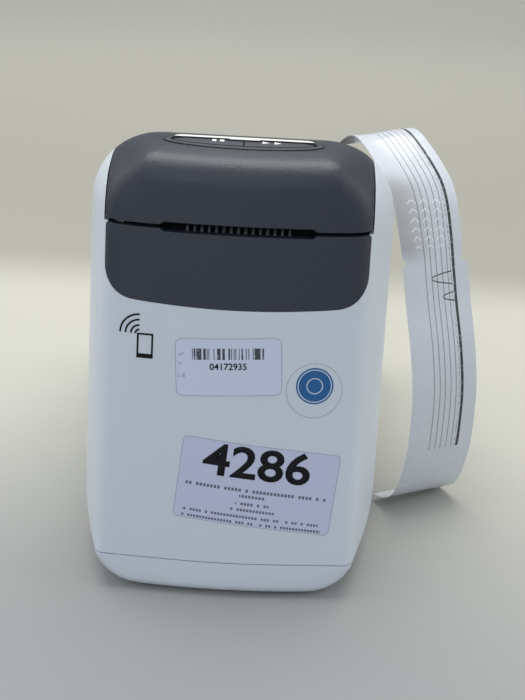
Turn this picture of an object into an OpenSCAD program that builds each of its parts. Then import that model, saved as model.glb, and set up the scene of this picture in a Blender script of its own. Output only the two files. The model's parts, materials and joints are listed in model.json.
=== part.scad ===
// Upright desktop thermal printer for wristbands and labels, fed from a drop-in cartridge.
// X runs across the front, Y runs from front to back, Z is up. The origin is on the
// resting surface, under the middle of the case. All sizes are in millimetres.

/* [Case] */
// Greatest width of the case
case_w = 127; // [124:0.5:130]
// Height of the crest of the hood above the table
case_h = 173.5; // [172:0.5:176]
// Depth from the bulge of the front to the rear wall
case_d = 240; // [236:1:246]
// Thickness of the white case walls
wall = 2.6; // [2.2:0.1:3]
// Backward lean of the front face in degrees
lean = 7.7; // [6:0.1:9]
// How far the front face bulges in its middle
crown = 4.5; // [3:0.1:5]
// Radius of the lower corners, seen from the front
low_r = 19; // [17:0.5:21]
// Radius of the upper corners of the face, seen from the front
face_r = 25; // [23:0.5:27]
// Radius of the upper corners where the case is widest
top_r = 30; // [28:0.5:32]
// Radius of the brow, where the front turns into the top
brow_r = 11.5; // [10:0.5:13]
// Height of the split between the case and its base tray
base_h = 14.5; // [13:0.5:16]
// Height of the rubber feet
foot_h = 1.2; // [1:0.1:1.4]

/* [Hood] */
// Half width of the hood, between the two white side walls
hood_x = 50.5; // [49:0.1:51]
// Height of the paper slot above the table
slot_z = 146.5; // [145:0.5:148]
// Height of the thin seam between hood and bib
seam_h = 1.5; // [1.2:0.1:1.8]
// Height of the mouth of the slot
mouth_h = 3.7; // [3.4:0.1:4]
// Width of the mouth of the slot
mouth_w = 59; // [50:1:62]
// Height of the dark bib below the slot
bib_h = 30; // [28:0.5:33]
// Downward slope of the back of the hood in degrees
tail = 16.5; // [15.5:0.5:17]

/* [Panel] */
// Half length of the control panel
panel_a = 31; // [29:0.5:33]
// Half depth of the control panel
panel_b = 7.9; // [7.4:0.1:8.4]
// Travel of the two buttons
button_travel = 0.6; // [0.4:0.1:0.8]

/* [Print mechanism] */
// Radius of the rubber platen roller
platen_r = 6; // [5.6:0.1:6]
// Width of the platen roller's rubber
platen_w = 34; // [30:1:40]
// Module of the gear teeth
gear_m = 0.6; // [0.6:0.1:0.6]
// Teeth on the motor pinion
pinion_teeth = 12; // [12:1:12]
// Teeth on the idler gear
idler_teeth = 40; // [38:1:40]
// Teeth on the platen gear
platen_teeth = 36; // [34:1:36]

/* [Cartridge] */
// Radius of the cartridge's round part
cart_r = 44; // [42:0.5:45]
// Radius of the full roll of wristbands
roll_r = 36; // [30:1:39]
// Width of the wristband
band_w = 30; // [25:1:30]

/* [Hidden] */

// Case form: everything is measured from the front face, which leans back
front_y = -case_d / 2 + crown - 1.5;
rear_y = case_d / 2 - 1;
half_w = case_w / 2;
z0 = foot_h;
edge_r = 4;                 // rounding between the face and the sides
flare_s = 84;               // the sides reach full width this far behind the face
front_half = half_w - 11.5; // half width the flare starts from
flare_r = (flare_s * flare_s + 11.5 * 11.5) / 23;
crest_y = -74;              // place of the crest of the hood
crest_r = 75;               // radius of the crest, seen from the side
tail_y = crest_y + crest_r * sin(tail);
tail_z = case_h - crest_r * (1 - cos(tail));
rear_r = 12;                // rounding of the rear edges
white = [0.86, 0.88, 0.90];
dark = [0.23, 0.25, 0.29];
steel = [0.72, 0.73, 0.75];
black = [0.1, 0.1, 0.11];

// Height of the top line and half width of the case, by place
function top_z(y) = y < tail_y ? case_h - crest_r + sqrt(crest_r * crest_r - pow(y - crest_y, 2))
                               : tail_z - (y - tail_y) * tan(tail);
function face_y(z) = front_y + z * tan(lean);
function half_at(s) = half_w - (s < flare_s ? flare_r - sqrt(flare_r * flare_r - pow(flare_s - s, 2)) : 0);
function bulge(x) = crown * (1 - pow(x / 50, 2));

// Centre of the brow rounding at x, touching both the face and the crest
function brow_y(x) = face_y(case_h - brow_r - 1.6) - bulge(x) + brow_r / cos(lean);
function brow_z(x) = case_h - crest_r + sqrt(pow(crest_r - brow_r, 2) - pow(brow_y(x) - crest_y, 2));

// A flat ring with a round rim: r is its outer radius, rim the rounding
module rim_ring(r, rim, fn) {
    rotate([90, 0, 0]) rotate_extrude($fn = fn) intersection() {
        translate([r - rim, 0]) circle(rim, $fn = fn);
        translate([0, -rim]) square([r, 2 * rim]);
    }
}

// A leaning disc, used as one corner of a cross-section of the case
module corner_disc(x, y, z, r, fn) {
    for (side = [-1, 1])
        translate([side * x, y, z]) rotate([90 - lean, 0, 0]) cylinder(r = r, h = 0.02, center = true, $fn = fn);
}

// The outer form of the whole printer, shrunk by t on every side
module case_form(t = 0, fn = 32, tops = [-82, -75, -68, -60, -53, -30, -5], posts = [0, 8, 16, 24, 32]) {
    low_z = z0 + low_r;
    front_low_x = front_half + 0.9 - low_r;
    front_top_x = front_half + 0.9 - face_r;
    hull() {
        // lower and upper corners of the leaning face
        for (side = [-1, 1]) {
            translate([side * front_low_x, face_y(low_z) + edge_r / cos(lean) + 0.1, low_z]) rotate([-lean, 0, 0])
                rim_ring(low_r - t, edge_r - t, fn);
            translate([side * front_top_x, brow_y(front_top_x), brow_z(front_top_x) + brow_r - face_r])
                rotate([-lean, 0, 0]) rim_ring(face_r - t, brow_r - t, fn);
        }
        // bulge of the face: rows of small balls along its lower edge and its brow
        for (x = posts, side = [-1, 1]) {
            translate([side * x, face_y(z0) - bulge(x) + edge_r / cos(lean), z0 + edge_r])
                sphere(edge_r - t, $fn = fn / 2);
            translate([side * x, brow_y(x), brow_z(x)]) sphere(brow_r - t, $fn = fn);
        }
        for (x = len(posts) > 2 ? [36.5, 40, 43, 45.5, 47.5] : [], side = [-1, 1])
            translate([side * x, face_y(z0) - bulge(x) + edge_r / cos(lean),
                       low_z - sqrt(pow(low_r - edge_r, 2) - pow(x - front_low_x, 2))])
                sphere(edge_r - t, $fn = fn / 2);
        // leaning cross-sections from the brow back to the widest place
        for (y = tops) {
            s = y - face_y(top_z(y));
            r = face_r + (top_r - face_r) * min(s, flare_s) / flare_s;
            corner_disc(half_at(s) - r, y - r * tan(lean), top_z(y) - r, r - t, fn);
            corner_disc(half_at(s) - low_r, y - (top_z(y) - low_z) * tan(lean), low_z, low_r - t, fn);
        }
        // rear wall
        for (side = [-1, 1]) {
            translate([side * (half_w - 2 - 24), rear_y - rear_r, top_z(rear_y - rear_r) - 24])
                rim_ring(24 - t, rear_r - t, fn);
            translate([side * (half_w - 2 - low_r), rear_y - 7, low_z]) rim_ring(low_r - t, 7 - t, fn);
            translate([side * (half_w - low_r), 70, low_z]) rotate([90, 0, 0])
                cylinder(r = low_r - t, h = 0.02, $fn = fn);
        }
    }
}

// The hollow of the case: the same form with fewer steps
module case_hollow(t) {
    case_form(t, 24, [-75, -57, -5], [0, 24]);
}

// A prism along X from a side-view outline: points are [y, z]
module side_prism(points, x1, x2) {
    translate([x1, 0, 0]) rotate([90, 0, 90]) linear_extrude(x2 - x1) polygon(points);
}

// A rod along X
module rod_x(r, x1, x2, y, z, fn = 48) {
    translate([x1, y, z]) rotate([0, 90, 0]) cylinder(r = r, h = x2 - x1, $fn = fn);
}

// A box by its two corners
module slab(a, b) {
    translate(a) cube(b - a);
}

// ---- Case ----
seam_low = slot_z - seam_h / 2;
seam_top = slot_z + seam_h / 2;
hinge_y = 93;
hinge_r = 5;
hinge_z = top_z(hinge_y) - hinge_r / cos(tail);
gap = 0.5;

// Outline of the bib on the face, grown by g: round lower corners and a slightly bowed lower edge
bib_r = 12;
bib_x = hood_x - 0.4;
module bib_outline(g) {
    hull() for (side = [-1, 1]) {
        translate([side * (bib_x - bib_r), slot_z - bib_h + bib_r + 1.6]) circle(bib_r + g, $fn = 96);
        translate([side * (bib_x - 1.4), seam_low - 1.4]) circle(1.4 + g, $fn = 32);
        polygon([for (x = [-36:4:36]) [x, slot_z - bib_h - g + 1.5 * pow(x / 38, 2)]]);
    }
}

// Opening that the rear panel fills
panel_w = 88;
panel_z1 = 17;
panel_z2 = 50;
screw_places = [[-40, -92], [40, -92], [-46, 90], [46, 90]];
board_places = [[-44, 62], [44, 62], [-44, 108], [44, 108]];
board_z = 20.4;

tower_z = z0 + 12;          // where the towers of the tray meet the bosses of the housing
screw_r = 1.6;

// A boss of the housing around a case screw, webbed to the nearest side wall
module boss_space(p) {
    translate([p[0], p[1], 0]) cylinder(r = 4.6, h = 26, $fn = 32);
    slab([min(p[0], sign(p[0]) * 80), p[1] - 0.9, base_h], [max(p[0], sign(p[0]) * 80), p[1] + 0.9, 25]);
}

// The side-view outline of the opening in the top of the case
opening = [[-140, seam_low], [-84, seam_low], [-84, 100], [hinge_y - 8, 100], [hinge_y - 8, 117],
           [hinge_y + hinge_r + gap, 117], [hinge_y + hinge_r + gap, 200], [-140, 200]];

module main_housing() color(white) {
    difference() {
        case_form();
        // the hollow, less the ribs, the bulkhead and the screw bosses
        difference() {
            case_hollow(wall);
            slab([-80, 99, 60], [80, 101.5, 200]);
            for (p = screw_places) boss_space(p);
            for (side = [-1, 1], y = [-45, -5, 35, 75])
                translate([side > 0 ? hood_x + 1.6 : -80, y - 0.9, 22]) cube([80 - hood_x - 1.6, 1.8, 90]);
        }
        difference() {
            slab([-80, -140, -5], [80, 140, base_h + 0.2]);
            for (p = screw_places) translate([p[0], p[1], tower_z]) cylinder(r = 4.6, h = 10, $fn = 32);
        }
        for (p = screw_places) translate([p[0], p[1], 0]) cylinder(r = screw_r, h = 22, $fn = 32);
        side_prism(opening, -hood_x - gap, hood_x + gap);
        translate([0, -80, 0]) rotate([90, 0, 0]) linear_extrude(60) bib_outline(0.15);
        slab([-panel_w / 2, 102, panel_z1], [panel_w / 2, 130, panel_z2]);
    }
    // ears that hold the hinge pins
    for (side = [-1, 1]) mirror([side < 0 ? 1 : 0, 0, 0]) difference() {
        union() {
            rod_x(hinge_r, 45.6, 48, hinge_y, hinge_z);
            slab([45.6, hinge_y, hinge_z - hinge_r], [48, 99.3, hinge_z]);
        }
        rod_x(2, 40, 50, hinge_y, hinge_z);
    }
}

// Plan of the case just above the table
module plan_outline() {
    polygon([for (s = [4:8:84]) [half_at(s), front_y + s], [half_w, 60], [half_w - 2, rear_y],
             [-half_w + 2, rear_y], [-half_w, 60], for (s = [84:-8:4]) [-half_at(s), front_y + s]]);
}

module base_tray() color(white) {
    floor_z = z0 + 2.5;
    difference() {
        union() {
            difference() {
                case_form();
                slab([-80, -140, base_h - 0.2], [80, 140, 200]);
                translate([0, 0, floor_z]) linear_extrude(30) offset(delta = -12) plan_outline();
            }
            for (p = screw_places) translate([p[0], p[1], floor_z - 0.1]) cylinder(r = 5, h = tower_z - floor_z + 0.1, $fn = 32);
            for (p = board_places) translate([p[0], p[1], floor_z - 0.1])
                cylinder(r = 3.5, h = board_z - floor_z + 0.1, $fn = 32);
        }
        // air slots
        for (i = [-5:4]) slab([i * 6 + 1.8, -20, -5], [i * 6 + 4.2, 44, 10]);
        // counterbored holes for the case screws
        for (p = screw_places) translate([p[0], p[1], -5]) {
            cylinder(r = 1.7, h = 30, $fn = 32);
            cylinder(r = 3.4, h = 10, $fn = 32);
        }
        for (p = screw_places) translate([p[0], p[1], tower_z]) cylinder(r = 4.8, h = 10, $fn = 32);
        for (p = board_places) translate([p[0], p[1], 10]) cylinder(r = 1.2, h = 30, $fn = 32);
        // pockets and sockets for the feet
        for (p = foot_places) translate([p[0], p[1], -1]) {
            cylinder(r = foot_r + 0.3, h = z0 + 1.5, $fn = 48);
            cylinder(r = 2, h = z0 + 3.4, $fn = 32);
        }
    }
}

foot_places = [[-40, -72], [40, -72], [-42, 76], [42, 76]];
foot_r = 7;

module rubber_feet() color(black)
    for (p = foot_places) translate([p[0], p[1], 0]) {
        cylinder(r1 = foot_r - 0.8, r2 = foot_r, h = z0 + 0.5, $fn = 48);
        translate([0, 0, z0 + 0.4]) cylinder(r = 2, h = 2, $fn = 32);
    }

// The mouth of the slot between hood and bib, with bevelled ends
module mouth() {
    rotate([90, 0, 0]) linear_extrude(140) polygon([
        for (e = [[-1, -1], [1, -1], [1, 1], [-1, 1]], k = e[0] * e[1] > 0 ? [1, 0] : [0, 1])
            [e[0] * (mouth_w / 2 - (k == 0 ? 1.6 : 0)), slot_z + e[1] * (k == 0 ? mouth_h : seam_h) / 2]]);
}

module front_bib() color(dark) difference() {
    intersection() {
        case_form();
        translate([0, -80, 0]) rotate([90, 0, 0]) linear_extrude(60) bib_outline(0);
    }
    case_hollow(wall + 0.4);
    mouth();
}

// ---- Rear connectors ----
plate_y = rear_y - 1.4;     // face of the rear panel, a little below the wall around it
switch_x = -27;
inlet_x = -5;
usb_x = 14;
network_x = 33;
port_z = board_z + 1.6;

// A box standing on the board behind the rear panel: w wide, h high, out past the plate by proud
module port_block(x, w, h, depth, proud) {
    slab([x - w / 2, plate_y - depth, port_z], [x + w / 2, plate_y + proud, port_z + h]);
}

module rear_panel() color(dark) difference() {
    union() {
        slab([-panel_w / 2 + 0.15, rear_y - wall - 1, panel_z1 + 0.15],
             [panel_w / 2 - 0.15, plate_y, panel_z2 - 0.15]);
        slab([-panel_w / 2 - 2, rear_y - wall - 1.5, panel_z1 + 0.15],
             [panel_w / 2 + 2, rear_y - wall - 0.01, panel_z2 + 2]);
    }
    port_block(inlet_x, 12.2, 12.2, 10, 2);
    port_block(usb_x, 12.4, 11.4, 10, 2);
    port_block(network_x, 16.4, 13.8, 10, 2);
    slab([switch_x - 7, 100, 26], [switch_x + 7, 130, 46.6]);
}

module dc_inlet() color(black) {
    difference() {
        port_block(inlet_x, 12, 12, 12, 0.4);
        translate([inlet_x, plate_y + 3, port_z + 6]) rotate([90, 0, 0]) cylinder(r = 3.2, h = 12, $fn = 48);
    }
    translate([inlet_x, plate_y - 0.6, port_z + 6]) rotate([90, 0, 0]) cylinder(r = 1, h = 10, $fn = 32);
}

module usb_port() color(steel) difference() {
    port_block(usb_x, 12.2, 11.2, 16, 0.4);
    difference() {
        slab([usb_x - 4.9, plate_y - 9, port_z + 1.2], [usb_x + 4.9, plate_y + 3, port_z + 9.8]);
        slab([usb_x - 2.8, plate_y - 10, port_z + 4], [usb_x + 2.8, plate_y - 4.1, port_z + 7.2]);
    }
}

module network_port() color(steel) difference() {
    port_block(network_x, 16.2, 13.6, 21, 0.4);
    slab([network_x - 5.9, plate_y - 13, port_z + 4], [network_x + 5.9, plate_y + 3, port_z + 11.4]);
    slab([network_x - 3.1, plate_y - 13, port_z + 2], [network_x + 3.1, plate_y + 3, port_z + 5]);
}

module switch_frame() color(black) difference() {
    union() {
        slab([switch_x - 8, plate_y + 0.01, 25], [switch_x + 8, plate_y + 1.3, 47.6]);
        slab([switch_x - 6.9, plate_y - 13, 26.1], [switch_x + 6.9, plate_y + 0.2, 46.5]);
    }
    slab([switch_x - 5.4, plate_y - 9, 27], [switch_x + 5.4, plate_y + 3, 45.3]);
    rod_x(1.55, switch_x - 6.2, switch_x + 6.2, plate_y - 3, 36.3);
}

// Rocker: a shallow V that tips about a cross pin
module power_rocker() color(black) {
    side_prism([[plate_y + 2.2, 28.2], [plate_y + 0.9, 36.3], [plate_y + 0.2, 44.4], [plate_y - 2, 44.6],
                [plate_y - 5, 38], [plate_y - 5, 34.6], [plate_y - 1.2, 28]], switch_x - 5.1, switch_x + 5.1);
    rod_x(1.5, switch_x - 6.1, switch_x + 6.1, plate_y - 3, 36.3);
}

module main_board() color([0.1, 0.35, 0.2]) {
    difference() {
        slab([-47, 56, board_z], [47, 113.6, port_z]);
        for (p = board_places) translate([p[0], p[1], 0]) cylinder(r = 1.6, h = 60, $fn = 32);
        // notches round the rear screw bosses of the housing
        for (p = screw_places) translate([p[0], p[1], 0]) cylinder(r = 5.4, h = 60, $fn = 48);
    }
    // the larger parts on the board
    for (b = [[-20, 70, 9, 9, 1.4], [4, 68, 12, 12, 1.6], [26, 66, 7, 10, 3.5], [-34, 78, 6, 6, 1.2]])
        slab([b[0], b[1], port_z - 0.1], [b[0] + b[2], b[1] + b[3], port_z + b[4]]);
    for (c = [[-30, 66], [22, 86], [40, 80]]) translate([c[0], c[1], port_z - 0.1])
        cylinder(r = 3.1, h = 9, $fn = 32);
}

module screw(x, y, z, shank, len, head) {
    translate([x, y, z]) {
        cylinder(r = shank, h = len, $fn = 24);
        difference() {
            translate([0, 0, len]) cylinder(r = head, h = 1.8, $fn = 24);
            translate([0, 0, len + 0.9]) cylinder(r = head * 0.45, h = 2, $fn = 6);
        }
    }
}

module board_screws() color(steel)
    for (p = board_places) screw(p[0], p[1], 12, 1.2, port_z - 12, 2.6);

module case_screws() color(steel)
    for (p = screw_places) translate([p[0], p[1], 0]) mirror([0, 0, 1]) screw(0, 0, -13, 1.65, 8, 3.2);

// ---- Hood and control panel ----
skirt = 2.2;                // thickness of the hood's side skirts
panel_y = -75;              // middle of the panel, on the crest
hood_side = [[-140, seam_top], [-66, seam_top], [hinge_y - 6, top_z(hinge_y - 6) - 13],
             [hinge_y, hinge_z], [hinge_y + 3, 200], [-140, 200]];

// Oval of half length a and half depth b, fuller towards the rear, moved back by dy
module oval(a, b, dy = 0) {
    translate([0, panel_y + dy]) hull() {
        scale([a / b, 1]) circle(b, $fn = 72);
        for (side = [-1, 1]) translate([side * (a - 0.75 * b), 0.5 * b]) circle(0.5 * b, $fn = 48);
    }
}

// The layer of the hood's crest between two depths below its surface, cut to a plan
module crest_layer(d1, d2) {
    intersection() {
        translate([0, 0, case_h - 12]) linear_extrude(20) children();
        difference() {
            rod_x(crest_r - d1, -40, 40, crest_y, case_h - crest_r, 180);
            rod_x(crest_r - d2, -41, 41, crest_y, case_h - crest_r, 180);
        }
    }
}

module hood() color(dark) difference() {
    intersection() {
        case_form();
        side_prism(hood_side, -hood_x, hood_x);
    }
    intersection() {
        case_hollow(wall);
        slab([-hood_x + skirt, -140, 0], [hood_x - skirt, 140, 200]);
    }
    mouth();
    crest_layer(-4, 8) oval(panel_a, panel_b);
    crest_layer(wall, 12) oval(panel_a + 2.2, panel_b + 2.2);
    // room for the hinge barrel and for the ears beside it
    rod_x(hinge_r, -46, 46, hinge_y, hinge_z);
    for (side = [-1, 1]) mirror([side < 0 ? 1 : 0, 0, 0]) rod_x(hinge_r + gap, 45.1, hood_x - skirt, hinge_y, hinge_z);
}

liner_x = hood_x - skirt;

// Inner frame of the hood: a ribbed skin under its tail, the hinge barrel and the ears for the print head
module hood_liner() color(black) {
    top = 2.8;
    difference() {
        union() {
            intersection() {
                case_hollow(wall + 0.1);
                union() {
                    // skin under the tail of the hood
                    side_prism([[-58, top_z(-58) - top], [-50, top_z(-50) - top], [hinge_y - 3, top_z(hinge_y - 3) - top],
                                [hinge_y - 3, top_z(hinge_y - 3) - top - 2], [-50, top_z(-50) - top - 2.2],
                                [-58, top_z(-58) - top - 2.3]], -liner_x, liner_x);
                    // ribs along and across
                    for (x = [-41, -16, 16, 41]) side_prism([[-58, top_z(-58) - top - 2],
                        [hinge_y - 3, top_z(hinge_y - 3) - top - 1.6], [hinge_y - 3, top_z(hinge_y - 3) - top - 4],
                        [-50, top_z(-50) - top - 6], [-58, 157]], x - 0.8, x + 0.8);
                    for (y = [-30, 10, 50]) translate([-liner_x, y, top_z(y) - top - 5]) cube([2 * liner_x, 1.6, 4]);
                    // cross rail at the front
                    slab([-liner_x, -60, 155.5], [liner_x, -57.6, top_z(-58) - top - 1]);
                }
            }
            // ears of the print head's pivot
            for (x = [-27, 27]) side_prism([[-59, 165], [-59, 155.5], [-63, 149.6], [-69, 149.6], [-69, 156], [-64, 165]],
                                           x - 1.2, x + 1.2);
            // hinge barrel and the strap that joins it to the skin
            rod_x(hinge_r, -45, 45, hinge_y, hinge_z);
            side_prism([[hinge_y - 14, top_z(hinge_y - 14) - top - 0.4], [hinge_y, hinge_z + 1], [hinge_y, hinge_z - 2],
                        [hinge_y - 14, top_z(hinge_y - 14) - top - 4]], -34, 34);
        }
        // openings that lighten the skin
        for (x = [-28.5, 0, 28.5], y = [-24, 16, 56]) translate([x, y, 90]) linear_extrude(90)
            offset(r = 4, $fn = 32) square([14, 16], center = true);
        for (side = [-1, 1]) mirror([side < 0 ? 1 : 0, 0, 0]) {
            rod_x(2.05, 30, 50, hinge_y, hinge_z);
            rod_x(hinge_r + 0.6, 45.1, 50, hinge_y, hinge_z);
        }
        rod_x(1.5, -40, 40, pivot_y, pivot_z);
    }
}

module hinge_pins() color(steel)
    for (side = [-1, 1]) mirror([side < 0 ? 1 : 0, 0, 0]) rod_x(2, 33, 48.2, hinge_y, hinge_z);

module panel_ring() color(black) crest_layer(-0.05, wall - 0.2) difference() {
    oval(panel_a - 0.05, panel_b - 0.05);
    oval(panel_a - 0.7, panel_b - 0.7);
}

opening_a = panel_a - 2.6;
opening_b = panel_b - 1.6;
opening_dy = 0.9;           // the opening sits this far behind the middle of the panel
module opening_plan(g) oval(opening_a - g, opening_b - g, opening_dy);

module panel_bezel() color([0.33, 0.35, 0.39]) difference() {
    union() {
        crest_layer(0, wall + 0.1) oval(panel_a - 0.7, panel_b - 0.7);
        crest_layer(wall, 4.8) oval(panel_a + 2, panel_b + 2);
        for (x = [-20, 20]) translate([x, panel_y, 165.6]) cylinder(r = 2, h = 4, $fn = 32);
    }
    crest_layer(-4, 3.4) opening_plan(0);
    for (x = [-12, 12]) translate([x, panel_y - 2, 150]) cylinder(r = 2.2, h = 30, $fn = 32);
}

// Front edge of the status light, with the wider part in its middle
light_y = panel_y + opening_dy + opening_b - 3.4;
module light_plan(g) {
    difference() {
        opening_plan(g);
        translate([-40, light_y - 30 + g]) square([80, 30]);
    }
    translate([-6 + g, light_y - 1.2 + g]) square([12 - 2 * g, 2.4]);
}

module status_light() color([0.95, 0.96, 0.97]) crest_layer(-0.3, 3.38) light_plan(0.1);

module button_cap(side) {
    crest_layer(0.25, 2.5) difference() {
        opening_plan(0.35);
        light_plan(-0.3);
        translate([side > 0 ? -40 : -0.25, -140]) square([40.25, 100]);
    }
    translate([side * 12, panel_y - 2, 166.8]) cylinder(r = 1.8, h = 4.4, $fn = 32);
}

module pause_button() color([0.4, 0.42, 0.46]) button_cap(-1);
module feed_button() color([0.4, 0.42, 0.46]) button_cap(1);

module button_board() color([0.1, 0.35, 0.2]) {
    slab([-24, panel_y - 6, 164.2], [24, panel_y + 6, 165.6]);
    for (x = [-12, 12]) translate([x, panel_y - 2, 165.5]) cylinder(r = 1.6, h = 0.4, $fn = 32);
}

// ---- Print mechanism ----
platen_y = -82;
platen_z = slot_z - 0.3 - platen_r;
pivot_y = -66;
pivot_z = 152.6;
motor_y = -76;
motor_z = 106;
plate_in = 41.2;            // inner face of the chassis plates
plate_out = 42.7;

module head_pin() color(steel) rod_x(1.5, -29, 29, pivot_y, pivot_z);

// Thermal line head: a ceramic strip with its row of dots just over the platen
module print_head() color([0.85, 0.83, 0.76]) {
    slab([-21, -90, slot_z + 0.9], [21, -75, slot_z + 1.9]);
    rod_x(0.7, -17, 17, platen_y, slot_z + 1);
}

module head_heat_sink() color([0.75, 0.76, 0.78]) difference() {
    slab([-22, -91, slot_z + 1.9], [22, -72, slot_z + 6.4]);
    for (i = [0:6]) slab([-23, -89.5 + i * 2.6, slot_z + 4.2], [23, -88.3 + i * 2.6, slot_z + 8]);
}

module head_bracket() color(steel) difference() {
    union() {
        slab([-22, -72, slot_z + 1.9], [22, -70.6, slot_z + 9]);
        slab([-22, -89, slot_z + 6.4], [22, -70.6, slot_z + 7.4]);
        for (x = [-22, 22]) side_prism([[-72, slot_z + 1.9], [pivot_y + 3, pivot_z - 3.4], [pivot_y + 3.4, pivot_z],
                                        [pivot_y, pivot_z + 3.4], [-72, slot_z + 9]], x - 1, x + 1);
    }
    rod_x(1.55, -30, 30, pivot_y, pivot_z);
}

// Bent leaf spring that presses the head down
module head_spring() color(steel) side_prism([[-60, 165], [-66, 164.8], [-80, slot_z + 7.47],
    [-82, slot_z + 7.42], [-84, slot_z + 7.92], [-84, slot_z + 8.4], [-82, slot_z + 7.9], [-79.6, slot_z + 8], [-65.6, 165.4],
    [-60, 165.5]], -6, 6);

// Steel frame: two side plates, a floor and a beam under the paper guide
module chassis() color(steel) {
    foot = z0 + 2.5;
    difference() {
        for (side = [-1, 1]) mirror([side < 0 ? 1 : 0, 0, 0])
            side_prism([[-92, 96], [-92, 145], [-74, 145], [-66, 138], [-58, 118], [-56, 60], [-36, foot + 1],
                        [-36, foot], [-70, foot], [-70, 76]], plate_in, plate_out);
        rod_x(4, -60, 60, platen_y, platen_z);
        rod_x(5, -60, 0, motor_y, motor_z);
        rod_x(1.5, -60, 0, idler_at[0], idler_at[1]);
        // windows that lighten the plates
        side_prism([[-66, 70], [-62, 40], [-56, 30], [-60, 62]], -60, 60);
    }
    difference() {
        slab([-plate_in, -70, foot], [plate_in, -36, foot + 1.5]);
        for (x = [-26, 26], y = [-62, -44]) translate([x, y, 0]) cylinder(r = 2.2, h = 20, $fn = 32);
    }
    slab([-plate_in, -91.5, 126.5], [plate_in, -85, 128]);
}

// Ribbed guide behind the mouth of the slot
module media_guide() color(black) {
    slab([-31, -91, 128], [31, -89.4, 145.2]);
    slab([-31, -95.4, 141], [31, -91, 142.4]);
    for (i = [-7:7]) side_prism([[-91, 141], [-91, slot_z - 0.6], [-95, slot_z - 0.5], [-97.6, slot_z - 1.4], [-97, 142.4],
                                 [-95.4, 141]], i * 2.75 - 0.5, i * 2.75 + 0.5);
}

module platen_shaft() color(steel) {
    rod_x(3, -40.9, 40.9, platen_y, platen_z);
    rod_x(2.5, -47.6, 46.6, platen_y, platen_z);
}

module platen_roller() color(black) difference() {
    rod_x(platen_r, -platen_w / 2, platen_w / 2, platen_y, platen_z);
    rod_x(3, -40, 40, platen_y, platen_z);
}

module platen_bushes() color([0.9, 0.88, 0.8])
    for (side = [-1, 1]) mirror([side < 0 ? 1 : 0, 0, 0]) difference() {
        union() {
            rod_x(4, plate_in, plate_out + 0.4, platen_y, platen_z);
            rod_x(5, plate_out, plate_out + 0.7, platen_y, platen_z);
        }
        rod_x(2.55, 30, 60, platen_y, platen_z);
    }

// Involute gear outline with a tooth centred on angle 0
function involute(base, a) = base * sqrt(1 + pow(a * PI / 180, 2));
function involute_turn(a) = a - atan(a * PI / 180);
module gear(teeth, bore, width) {
    pitch = gear_m * teeth / 2;
    base = pitch * cos(20);
    tip = pitch + gear_m * 0.95;
    root = pitch - gear_m * 1.2;
    roll = function(r) sqrt(max(0, pow(r / base, 2) - 1)) * 180 / PI;
    // half a tooth's angle at the pitch circle, less the backlash
    half = 90 / teeth - 0.045 / pitch * 180 / PI + involute_turn(roll(pitch));
    flank = [for (k = [0:4]) let (r = max(root, base) + (tip - max(root, base)) * k / 4)
        [r, half - involute_turn(roll(r))]];
    points = [for (t = [0:teeth - 1]) let (mid = t * 360 / teeth) each concat(
        [[root, mid - half - 0.2]], [for (k = [0:4]) [flank[k][0], mid - flank[k][1]]],
        [for (k = [4:-1:0]) [flank[k][0], mid + flank[k][1]]], [[root, mid + half + 0.2]])];
    difference() {
        linear_extrude(width) polygon([for (q = points) [q[0] * cos(q[1]), q[0] * sin(q[1])]]);
        translate([0, 0, -1]) cylinder(r = bore, h = width + 2, $fn = 48);
    }
}

// A gear on an axis along X: turn is measured from +Y towards +Z
module gear_x(teeth, bore, width, x, y, z, turn) {
    translate([x, y, z]) rotate([turn, 0, 0]) rotate([90, 0, 90]) gear(teeth, bore, width);
}

// The idler sits where its two pitch circles touch both of its neighbours
d_motor = gear_m * (pinion_teeth + idler_teeth) / 2;
d_platen = gear_m * (platen_teeth + idler_teeth) / 2;
d_both = norm([platen_y - motor_y, platen_z - motor_z]);
up_angle = atan2(platen_z - motor_z, platen_y - motor_y);
corner_angle = acos((d_motor * d_motor + d_both * d_both - d_platen * d_platen) / (2 * d_motor * d_both));
to_idler = up_angle - corner_angle;
idler_at = [motor_y + d_motor * cos(to_idler), motor_z + d_motor * sin(to_idler)];
to_platen = atan2(platen_z - idler_at[1], platen_y - idler_at[0]);
idler_turn = to_idler + 180 + 180 / idler_teeth;
ahead = (idler_turn - to_platen) % (360 / idler_teeth);
platen_turn = to_platen + 180 - ahead * idler_teeth / platen_teeth + 180 / platen_teeth;

module motor_pinion() color([0.8, 0.68, 0.35]) gear_x(pinion_teeth, 1, 3.6, -47.3, motor_y, motor_z, to_idler);
module idler_gear() color([0.93, 0.93, 0.9]) {
    gear_x(idler_teeth, 1.56, 3.4, -47.2, idler_at[0], idler_at[1], idler_turn);
}
module platen_gear() color([0.93, 0.93, 0.9]) gear_x(platen_teeth, 2.5, 3.2, -47.1, platen_y, platen_z, platen_turn);

module idler_stud() color(steel) {
    rod_x(1.5, -48, -plate_in, idler_at[0], idler_at[1]);
    rod_x(2.6, -48.4, -47.6, idler_at[0], idler_at[1]);
    rod_x(2.6, -43.4, -plate_out, idler_at[0], idler_at[1]);
}

module stepper_motor() color([0.5, 0.51, 0.53]) difference() {
    union() {
        rod_x(17.4, -plate_in, -27.5, motor_y, motor_z, 96);
        rod_x(4.9, -plate_out, -plate_in + 1, motor_y, motor_z);
        // two lugs that are screwed to the side plate
        slab([-plate_in, motor_y - 3.8, motor_z - 21], [-plate_in + 0.8, motor_y + 3.8, motor_z + 21]);
        for (side = [-1, 1]) rod_x(3.8, -plate_in, -plate_in + 0.8, motor_y, motor_z + side * 21, 32);
    }
    rod_x(1.06, -60, 0, motor_y, motor_z);
}

module motor_shaft() color(steel) rod_x(1, -47.3, -26.5, motor_y, motor_z);

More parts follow.
